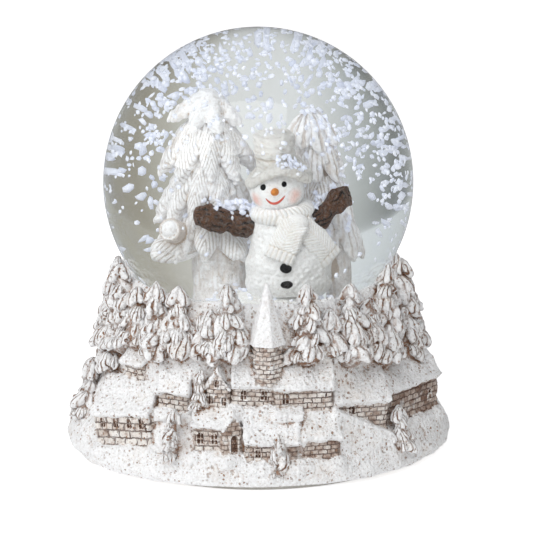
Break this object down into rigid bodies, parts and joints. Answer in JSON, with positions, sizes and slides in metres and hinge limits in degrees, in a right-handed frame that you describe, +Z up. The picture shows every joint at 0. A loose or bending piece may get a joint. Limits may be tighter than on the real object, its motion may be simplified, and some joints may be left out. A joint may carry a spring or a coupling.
{
  "type": "snow globe",
  "caption": "Liquid-filled glass snow globe on a cast village base, with a snowman between snow-covered firs and loose drifting flakes inside.",
  "frame": {"origin": "on the globe's vertical axis, in the plane the felt pad rests on", "axes": "+Z up along the globe's vertical axis, -Y towards the front that the snowman faces, +X to the viewer's right"},
  "size_m": [0.1002, 0.0928, 0.109],
  "materials": {
    "cast_resin": "matte, antique-washed",
    "blown_glass": "polished",
    "clear_adhesive": "gloss",
    "silicone": "satin",
    "stopper_rubber": "satin",
    "plug_rubber": "satin",
    "painted_snow": "matte",
    "painted_fir": "matte, antique-washed",
    "painted_figure": "matte, hand painted",
    "painted_bark": "matte",
    "snow_flake": "matte",
    "clear_liquid": "clear",
    "cover_board": "matte",
    "felt": "napped"
  },
  "bodies": {
    "root": {"base_casting": "cast_resin", "glass_globe": "blown_glass", "globe_bedding": "clear_adhesive", "silicone_seal": "silicone", "rubber_stopper": "stopper_rubber", "scene_adhesive": "clear_adhesive", "snow_mound": "painted_snow", "fir_tree_left": "painted_fir", "fir_tree_right": "painted_fir", "snowman": "painted_figure", "twig_arm_left": "painted_bark", "twig_arm_right": "painted_bark", "settled_flakes": "snow_flake"},
    "fluid": {"globe_liquid": "clear_liquid", "snow_flakes": "snow_flake"},
    "plug": {"refill_plug": "plug_rubber"},
    "cover": {"base_cover": "cover_board", "felt_pad": "felt"}
  },
  "joints": [
    {"name": "snow_swirl", "type": "hinge", "parent": "root", "child": "fluid", "pos_m": [0, 0, 0.069], "axis": [0, 0, 1], "continuous": true, "deforming": ["globe_liquid"]},
    {"name": "refill_plug_pull", "type": "slide", "parent": "root", "child": "plug", "axis": [0, 0, -1], "range_m": [0, 0.014]},
    {"name": "base_cover_off", "type": "slide", "parent": "root", "child": "cover", "axis": [0, 0, -1], "range_m": [0, 0.02]}
  ]
}
